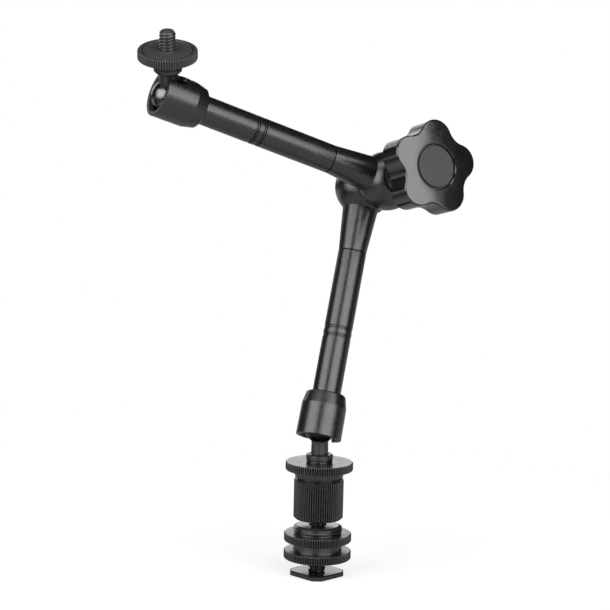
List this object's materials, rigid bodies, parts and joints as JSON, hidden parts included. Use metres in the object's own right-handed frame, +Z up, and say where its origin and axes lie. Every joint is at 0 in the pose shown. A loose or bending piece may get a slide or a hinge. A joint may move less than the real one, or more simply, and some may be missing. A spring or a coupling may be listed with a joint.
{
  "type": "articulating friction arm",
  "caption": "Black friction arm: two tubes meet at a knob-locked elbow, with a ball stud at each end, a camera screw on top and an accessory-shoe foot below.",
  "frame": {"origin": "centre of the foot plate's underside", "axes": "+Z up the foot's post; X and Y along the sides of the square foot plate; the lower arm leans towards +X, and the knob faces mostly -Y"},
  "size_m": [0.125, 0.0801, 0.2195],
  "materials": {
    "arm_black": "satin black anodised",
    "black_aluminium": "matt black anodised, knurled",
    "polished_black": "bright-cut black",
    "black_steel": "black oxide",
    "ball_steel": "polished black nickel",
    "steel": "ground",
    "brass": "turned",
    "nylon": "smooth",
    "knob_black": "soft satin moulding",
    "cap_black": "fine-grained moulding",
    "rubber": "matt, ribbed"
  },
  "bodies": {
    "foot": {"shoe_plate": "black_steel", "shoe_post": "black_steel"},
    "grip_ring": {"shoe_grip_ring": "rubber"},
    "lower_disc": {"shoe_lower_disc": "black_aluminium"},
    "cap_ring": {"shoe_cap_ring": "polished_black"},
    "upper_disc": {"shoe_upper_disc": "black_aluminium"},
    "barrel_ring": {"coupler_ring": "polished_black"},
    "barrel": {"coupler": "black_aluminium"},
    "stud_ring": {"lower_thrust_ring": "black_steel"},
    "lower_stud": {"lower_ball_stud": "ball_steel"},
    "lock_disc": {"lower_lock_disc": "black_aluminium"},
    "lower_ball_cup": {"lower_cup": "brass"},
    "lower_arm": {"lower_socket": "arm_black", "lower_tube": "arm_black", "lower_hub": "arm_black", "elbow_washer": "nylon"},
    "cone_bolt": {"clamp_bolt": "steel"},
    "lower_push_rod": {"lower_rod": "steel"},
    "upper_arm": {"upper_hub": "arm_black", "upper_tube": "arm_black", "upper_socket": "arm_black", "knob_washer": "steel"},
    "upper_push_rod": {"upper_rod": "steel"},
    "clamp_knob": {"knob": "knob_black", "knob_insert": "brass", "knob_cap": "cap_black"},
    "upper_ball_cup": {"upper_cup": "brass"},
    "upper_stud": {"upper_ball_stud": "ball_steel"},
    "top_ring": {"top_thrust_ring": "black_steel"},
    "top_lock": {"top_disc": "black_aluminium", "top_pad": "rubber"}
  },
  "joints": [
    {"name": "shoe_clamp_travel", "type": "slide", "parent": "foot", "child": "grip_ring", "axis": [0, 0, 1], "range_m": [-0.004, 0.0005]},
    {"name": "shoe_clamp_turn", "type": "hinge", "parent": "grip_ring", "child": "lower_disc", "pos_m": [0, 0, 0.0073], "axis": [0, 0, 1], "range_deg": [-1130, 140]},
    {"name": "shoe_lock_travel", "type": "slide", "parent": "foot", "child": "cap_ring", "axis": [0, 0, 1], "range_m": [-0.0005, 0.0024]},
    {"name": "shoe_lock_turn", "type": "hinge", "parent": "cap_ring", "child": "upper_disc", "pos_m": [0, 0, 0.0145], "axis": [0, 0, 1], "range_deg": [-140, 680]},
    {"name": "coupler_travel", "type": "slide", "parent": "foot", "child": "barrel_ring", "axis": [0, 0, 1], "range_m": [-0.00212, 0]},
    {"name": "coupler_turn", "type": "hinge", "parent": "barrel_ring", "child": "barrel", "pos_m": [0, 0, 0.02375], "axis": [0, 0, 1], "range_deg": [-600, 0]},
    {"name": "stud_travel", "type": "slide", "parent": "foot", "child": "stud_ring", "axis": [0, 0, 1], "range_m": [0, 0.00127]},
    {"name": "stud_turn", "type": "hinge", "parent": "stud_ring", "child": "lower_stud", "pos_m": [0, 0, 0.0478], "axis": [0, 0, 1], "range_deg": [0, 360]},
    {"name": "stud_lock_turn", "type": "hinge", "parent": "stud_ring", "child": "lock_disc", "pos_m": [0, 0, 0.0473], "axis": [0, 0, 1], "range_deg": [-360, 360]},
    {"name": "lower_ball_tilt", "type": "hinge", "parent": "lower_stud", "child": "lower_ball_cup", "pos_m": [0, 0, 0.0615], "axis": [-0.5875, 0.8015, 0.1113], "range_deg": [-58, 68.5]},
    {"name": "lower_arm_spin", "type": "hinge", "parent": "lower_ball_cup", "child": "lower_arm", "pos_m": [0, 0, 0.0615], "axis": [0.3557, 0.1323, 0.9252], "range_deg": [-360, 0]},
    {"name": "knob_turn", "type": "hinge", "parent": "lower_arm", "child": "clamp_knob", "pos_m": [0.03273, -0.00268, 0.16063], "axis": [-0.2269, -0.9481, 0.2228], "range_deg": [0, 360]},
    {"name": "cone_bolt_travel", "type": "slide", "parent": "lower_arm", "child": "cone_bolt", "axis": [-0.2269, -0.9481, 0.2228], "range_m": [-0.001, 0]},
    {"name": "lower_rod_travel", "type": "slide", "parent": "lower_arm", "child": "lower_push_rod", "axis": [0.3557, 0.1323, 0.9252], "range_m": [0, 0.00025]},
    {"name": "elbow", "type": "hinge", "parent": "lower_arm", "child": "upper_arm", "pos_m": [0.03663, 0.01362, 0.1568], "axis": [-0.2269, -0.9481, 0.2228], "range_deg": [-239, 61]},
    {"name": "upper_rod_travel", "type": "slide", "parent": "upper_arm", "child": "upper_push_rod", "axis": [0.901, -0.2912, -0.3217], "range_m": [0, 0.00025]},
    {"name": "upper_arm_spin", "type": "hinge", "parent": "upper_arm", "child": "upper_ball_cup", "pos_m": [-0.06007, 0.02731, 0.19376], "axis": [-0.901, 0.2912, 0.3217], "range_deg": [-7, 7]},
    {"name": "upper_ball_tilt", "type": "hinge", "parent": "upper_ball_cup", "child": "upper_stud", "pos_m": [-0.06007, 0.02731, 0.19376], "axis": [0.4027, 0.8373, 0.3698], "range_deg": [-100, 27.4]},
    {"name": "top_lock_travel", "type": "slide", "parent": "upper_stud", "child": "top_ring", "axis": [-0.2711, -0.2768, 0.9219], "range_m": [0, 0.00353]},
    {"name": "top_lock_turn", "type": "hinge", "parent": "top_ring", "child": "top_lock", "pos_m": [-0.06527, 0.022, 0.21146], "axis": [-0.2711, -0.2768, 0.9219], "range_deg": [0, 1000]}
  ],
  "couplings": [
    {"joint": "shoe_clamp_travel", "follows": "shoe_clamp_turn", "m_per_rad": 0.00020212},
    {"joint": "shoe_lock_travel", "follows": "shoe_lock_turn", "m_per_rad": 0.00020212},
    {"joint": "coupler_travel", "follows": "coupler_turn", "m_per_rad": 0.00020212},
    {"joint": "stud_travel", "follows": "stud_turn", "m_per_rad": 0.00020212},
    {"joint": "cone_bolt_travel", "follows": "knob_turn", "m_per_rad": -0.00015915},
    {"joint": "lower_rod_travel", "follows": "knob_turn", "m_per_rad": 0.000039788},
    {"joint": "upper_rod_travel", "follows": "knob_turn", "m_per_rad": 0.000039788},
    {"joint": "top_lock_travel", "follows": "top_lock_turn", "m_per_rad": 0.00020212}
  ]
}
